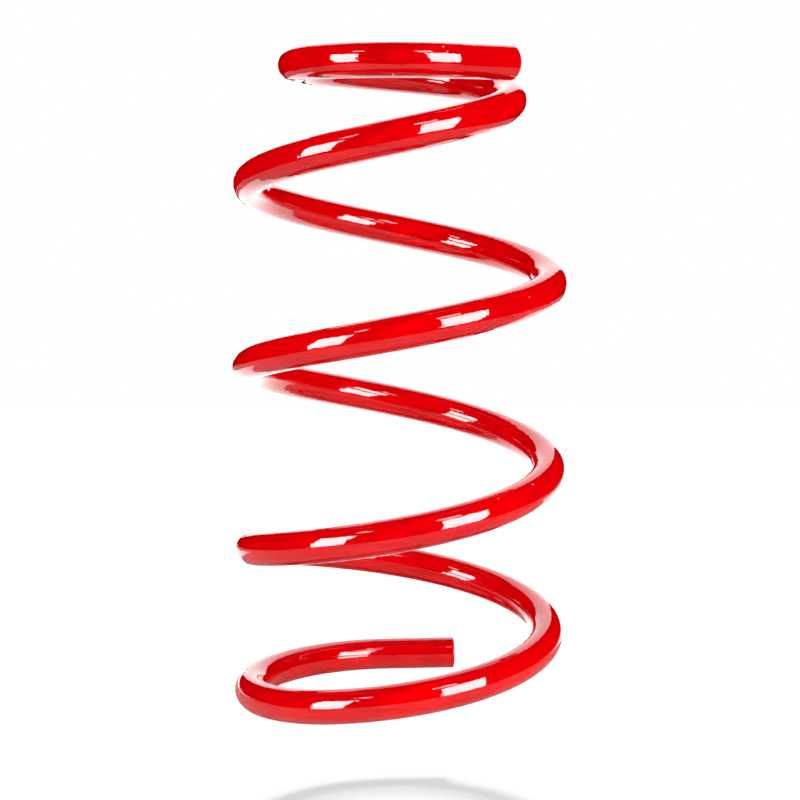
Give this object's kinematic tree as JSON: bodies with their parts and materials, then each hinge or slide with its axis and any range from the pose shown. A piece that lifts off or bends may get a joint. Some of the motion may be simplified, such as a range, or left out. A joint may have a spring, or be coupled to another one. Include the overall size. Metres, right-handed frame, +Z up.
{
  "type": "suspension coil spring",
  "caption": "Helical compression spring of round painted steel wire, for a car's suspension strut, with a smaller flat top coil and open cut ends.",
  "frame": {"origin": "on the coil axis, level with the lowest point of the wire, where the lower seat is", "axes": "+Z up the coil axis to the smaller top coil; -Y towards the side from which both cut ends point to the right, the lower one behind the coil and the upper one in front of it"},
  "size_m": [0.14, 0.1423, 0.2786],
  "materials": {
    "red_powder_coat": "glossy red powder coat on spring steel"
  },
  "bodies": {
    "lower_end_coil": {"lower_end_coil": "red_powder_coat"},
    "active_wire_01": {"active_wire_01": "red_powder_coat"},
    "active_wire_02": {"active_wire_02": "red_powder_coat"},
    "active_wire_03": {"active_wire_03": "red_powder_coat"},
    "active_wire_04": {"active_wire_04": "red_powder_coat"},
    "active_wire_05": {"active_wire_05": "red_powder_coat"},
    "active_wire_06": {"active_wire_06": "red_powder_coat"},
    "active_wire_07": {"active_wire_07": "red_powder_coat"},
    "active_wire_08": {"active_wire_08": "red_powder_coat"},
    "active_wire_09": {"active_wire_09": "red_powder_coat"},
    "active_wire_10": {"active_wire_10": "red_powder_coat"},
    "active_wire_11": {"active_wire_11": "red_powder_coat"},
    "active_wire_12": {"active_wire_12": "red_powder_coat"},
    "active_wire_13": {"active_wire_13": "red_powder_coat"},
    "active_wire_14": {"active_wire_14": "red_powder_coat"},
    "active_wire_15": {"active_wire_15": "red_powder_coat"},
    "active_wire_16": {"active_wire_16": "red_powder_coat"},
    "active_wire_17": {"active_wire_17": "red_powder_coat"},
    "active_wire_18": {"active_wire_18": "red_powder_coat"},
    "active_wire_19": {"active_wire_19": "red_powder_coat"},
    "active_wire_20": {"active_wire_20": "red_powder_coat"},
    "active_wire_21": {"active_wire_21": "red_powder_coat"},
    "active_wire_22": {"active_wire_22": "red_powder_coat"},
    "active_wire_23": {"active_wire_23": "red_powder_coat"},
    "active_wire_24": {"active_wire_24": "red_powder_coat"},
    "active_wire_25": {"active_wire_25": "red_powder_coat"},
    "active_wire_26": {"active_wire_26": "red_powder_coat"},
    "active_wire_27": {"active_wire_27": "red_powder_coat"},
    "active_wire_28": {"active_wire_28": "red_powder_coat"},
    "active_wire_29": {"active_wire_29": "red_powder_coat"},
    "active_wire_30": {"active_wire_30": "red_powder_coat"},
    "upper_end_coil": {"upper_end_coil": "red_powder_coat"}
  },
  "joints": [
    {"name": "twist_01", "type": "hinge", "parent": "lower_end_coil", "child": "active_wire_01", "pos_m": [-0.02268, -0.05878, 0.01623], "axis": [-0.9222, 0.3558, -0.1516], "range_deg": [0, 2.39], "stiffness_Nm_per_rad": 70},
    {"name": "twist_02", "type": "hinge", "parent": "active_wire_01", "child": "active_wire_02", "pos_m": [0.02552, -0.0576, 0.02369], "axis": [-0.9044, -0.4008, -0.1466], "range_deg": [0, 2.56], "stiffness_Nm_per_rad": 70},
    {"name": "twist_03", "type": "hinge", "parent": "active_wire_02", "child": "active_wire_03", "pos_m": [0.05878, -0.02268, 0.03089], "axis": [-0.3564, -0.9236, -0.1416], "range_deg": [0, 2.32], "stiffness_Nm_per_rad": 70},
    {"name": "twist_04", "type": "hinge", "parent": "active_wire_03", "child": "active_wire_04", "pos_m": [0.0576, 0.02552, 0.03826], "axis": [0.4004, -0.9035, -0.153], "range_deg": [0, 2.62], "stiffness_Nm_per_rad": 70},
    {"name": "twist_05", "type": "hinge", "parent": "active_wire_04", "child": "active_wire_05", "pos_m": [0.02268, 0.05878, 0.04621], "axis": [0.9203, -0.3551, -0.1643], "range_deg": [0, 3.09], "stiffness_Nm_per_rad": 70},
    {"name": "twist_06", "type": "hinge", "parent": "active_wire_05", "child": "active_wire_06", "pos_m": [-0.02552, 0.0576, 0.05475], "axis": [0.9, 0.3988, -0.1756], "range_deg": [0, 3.56], "stiffness_Nm_per_rad": 70},
    {"name": "twist_07", "type": "hinge", "parent": "active_wire_06", "child": "active_wire_07", "pos_m": [-0.05878, 0.02268, 0.06387], "axis": [0.3537, 0.9165, -0.1869], "range_deg": [0, 3.89], "stiffness_Nm_per_rad": 70},
    {"name": "twist_08", "type": "hinge", "parent": "active_wire_07", "child": "active_wire_08", "pos_m": [-0.0576, -0.02552, 0.0732], "axis": [-0.3982, 0.8986, -0.1841], "range_deg": [0, 3.75], "stiffness_Nm_per_rad": 70},
    {"name": "twist_09", "type": "hinge", "parent": "active_wire_08", "child": "active_wire_09", "pos_m": [-0.02268, -0.05878, 0.0824], "axis": [-0.9175, 0.354, -0.1812], "range_deg": [0, 3.5], "stiffness_Nm_per_rad": 70},
    {"name": "twist_10", "type": "hinge", "parent": "active_wire_09", "child": "active_wire_10", "pos_m": [0.02552, -0.0576, 0.09144], "axis": [-0.8996, -0.3986, -0.1784], "range_deg": [0, 3.26], "stiffness_Nm_per_rad": 70},
    {"name": "twist_11", "type": "hinge", "parent": "active_wire_10", "child": "active_wire_11", "pos_m": [0.05878, -0.02268, 0.10034], "axis": [-0.3544, -0.9185, -0.1756], "range_deg": [0, 3.14], "stiffness_Nm_per_rad": 70},
    {"name": "twist_12", "type": "hinge", "parent": "active_wire_11", "child": "active_wire_12", "pos_m": [0.0576, 0.02552, 0.10948], "axis": [0.3979, -0.898, -0.1877], "range_deg": [0, 3.45], "stiffness_Nm_per_rad": 70},
    {"name": "twist_13", "type": "hinge", "parent": "active_wire_12", "child": "active_wire_13", "pos_m": [0.02268, 0.05878, 0.11925], "axis": [0.9142, -0.3527, -0.1996], "range_deg": [0, 3.83], "stiffness_Nm_per_rad": 70},
    {"name": "twist_14", "type": "hinge", "parent": "active_wire_13", "child": "active_wire_14", "pos_m": [-0.02552, 0.0576, 0.12964], "axis": [0.8936, 0.396, -0.2115], "range_deg": [0, 3.94], "stiffness_Nm_per_rad": 70},
    {"name": "twist_15", "type": "hinge", "parent": "active_wire_14", "child": "active_wire_15", "pos_m": [-0.05878, 0.02268, 0.14067], "axis": [0.3509, 0.9094, -0.2233], "range_deg": [0, 3.94], "stiffness_Nm_per_rad": 70},
    {"name": "twist_16", "type": "hinge", "parent": "active_wire_15", "child": "active_wire_16", "pos_m": [-0.0576, -0.02552, 0.1516], "axis": [-0.3963, 0.8943, -0.208], "range_deg": [0, 3.87], "stiffness_Nm_per_rad": 70},
    {"name": "twist_17", "type": "hinge", "parent": "active_wire_16", "child": "active_wire_17", "pos_m": [-0.02268, -0.05878, 0.16171], "axis": [-0.9155, 0.3533, -0.1925], "range_deg": [0, 3.64], "stiffness_Nm_per_rad": 70},
    {"name": "twist_18", "type": "hinge", "parent": "active_wire_17", "child": "active_wire_18", "pos_m": [0.02552, -0.0576, 0.17101], "axis": [-0.8998, -0.3988, -0.1768], "range_deg": [0, 3.29], "stiffness_Nm_per_rad": 70},
    {"name": "twist_19", "type": "hinge", "parent": "active_wire_18", "child": "active_wire_19", "pos_m": [0.05878, -0.02268, 0.17949], "axis": [-0.3553, -0.9208, -0.1611], "range_deg": [0, 3.03], "stiffness_Nm_per_rad": 70},
    {"name": "twist_20", "type": "hinge", "parent": "active_wire_19", "child": "active_wire_20", "pos_m": [0.0576, 0.02552, 0.18791], "axis": [0.3989, -0.9002, -0.1746], "range_deg": [0, 3.38], "stiffness_Nm_per_rad": 70},
    {"name": "twist_21", "type": "hinge", "parent": "active_wire_20", "child": "active_wire_21", "pos_m": [0.02268, 0.05878, 0.19704], "axis": [0.9163, -0.3536, -0.1881], "range_deg": [0, 3.7], "stiffness_Nm_per_rad": 70},
    {"name": "twist_22", "type": "hinge", "parent": "active_wire_21", "child": "active_wire_22", "pos_m": [-0.02552, 0.0576, 0.20686], "axis": [0.8955, 0.3968, -0.2014], "range_deg": [0, 3.88], "stiffness_Nm_per_rad": 70},
    {"name": "twist_23", "type": "hinge", "parent": "active_wire_22", "child": "active_wire_23", "pos_m": [-0.05877, 0.02268, 0.21739], "axis": [0.3493, 0.9121, -0.2147], "range_deg": [0, 3.77], "stiffness_Nm_per_rad": 70},
    {"name": "twist_24", "type": "hinge", "parent": "active_wire_23", "child": "active_wire_24", "pos_m": [-0.05593, -0.02479, 0.22792], "axis": [-0.4562, 0.8655, -0.2069], "range_deg": [0, 3.56], "stiffness_Nm_per_rad": 70},
    {"name": "twist_25", "type": "hinge", "parent": "active_wire_24", "child": "active_wire_25", "pos_m": [-0.0205, -0.05312, 0.23777], "axis": [-0.9462, 0.2491, -0.2066], "range_deg": [0, 3.11], "stiffness_Nm_per_rad": 70},
    {"name": "twist_26", "type": "hinge", "parent": "active_wire_25", "child": "active_wire_26", "pos_m": [0.02095, -0.04727, 0.24692], "axis": [-0.8358, -0.5071, -0.2104], "range_deg": [0, 2.73], "stiffness_Nm_per_rad": 70},
    {"name": "twist_27", "type": "hinge", "parent": "active_wire_26", "child": "active_wire_27", "pos_m": [0.0438, -0.0169, 0.25539], "axis": [-0.25, -0.9443, -0.214], "range_deg": [0, 2.45], "stiffness_Nm_per_rad": 70},
    {"name": "twist_28", "type": "hinge", "parent": "active_wire_27", "child": "active_wire_28", "pos_m": [0.04031, 0.01786, 0.2625], "axis": [0.4357, -0.8833, -0.1732], "range_deg": [0, 1.88], "stiffness_Nm_per_rad": 70},
    {"name": "twist_29", "type": "hinge", "parent": "active_wire_28", "child": "active_wire_29", "pos_m": [0.01577, 0.04086, 0.26758], "axis": [0.9265, -0.3575, -0.1173], "range_deg": [0, 1.31], "stiffness_Nm_per_rad": 70},
    {"name": "twist_30", "type": "hinge", "parent": "active_wire_29", "child": "active_wire_30", "pos_m": [-0.01775, 0.04004, 0.27062], "axis": [0.9127, 0.4044, -0.0589], "range_deg": [0, 0.6057], "stiffness_Nm_per_rad": 70},
    {"name": "twist_31", "type": "hinge", "parent": "active_wire_30", "child": "upper_end_coil", "pos_m": [-0.04086, 0.01577, 0.27164], "axis": [0.36, 0.933, 0], "range_deg": [0, 0.1988], "stiffness_Nm_per_rad": 70}
  ],
  "couplings": [
    {"joint": "twist_02", "follows": "twist_01", "ratio": 1.0696},
    {"joint": "twist_03", "follows": "twist_01", "ratio": 0.96722},
    {"joint": "twist_04", "follows": "twist_01", "ratio": 1.0964},
    {"joint": "twist_05", "follows": "twist_01", "ratio": 1.2922},
    {"joint": "twist_06", "follows": "twist_01", "ratio": 1.4879},
    {"joint": "twist_07", "follows": "twist_01", "ratio": 1.6241},
    {"joint": "twist_08", "follows": "twist_01", "ratio": 1.5676},
    {"joint": "twist_09", "follows": "twist_01", "ratio": 1.4614},
    {"joint": "twist_10", "follows": "twist_01", "ratio": 1.3607},
    {"joint": "twist_11", "follows": "twist_01", "ratio": 1.3109},
    {"joint": "twist_12", "follows": "twist_01", "ratio": 1.4427},
    {"joint": "twist_13", "follows": "twist_01", "ratio": 1.5997},
    {"joint": "twist_14", "follows": "twist_01", "ratio": 1.6448},
    {"joint": "twist_15", "follows": "twist_01", "ratio": 1.6475},
    {"joint": "twist_16", "follows": "twist_01", "ratio": 1.6148},
    {"joint": "twist_17", "follows": "twist_01", "ratio": 1.5185},
    {"joint": "twist_18", "follows": "twist_01", "ratio": 1.3741},
    {"joint": "twist_19", "follows": "twist_01", "ratio": 1.265},
    {"joint": "twist_20", "follows": "twist_01", "ratio": 1.4127},
    {"joint": "twist_21", "follows": "twist_01", "ratio": 1.5445},
    {"joint": "twist_22", "follows": "twist_01", "ratio": 1.6217},
    {"joint": "twist_23", "follows": "twist_01", "ratio": 1.5758},
    {"joint": "twist_24", "follows": "twist_01", "ratio": 1.4852},
    {"joint": "twist_25", "follows": "twist_01", "ratio": 1.2985},
    {"joint": "twist_26", "follows": "twist_01", "ratio": 1.1385},
    {"joint": "twist_27", "follows": "twist_01", "ratio": 1.0235},
    {"joint": "twist_28", "follows": "twist_01", "ratio": 0.78343},
    {"joint": "twist_29", "follows": "twist_01", "ratio": 0.54635},
    {"joint": "twist_30", "follows": "twist_01", "ratio": 0.25299},
    {"joint": "twist_31", "follows": "twist_01", "ratio": 0.08302}
  ]
}
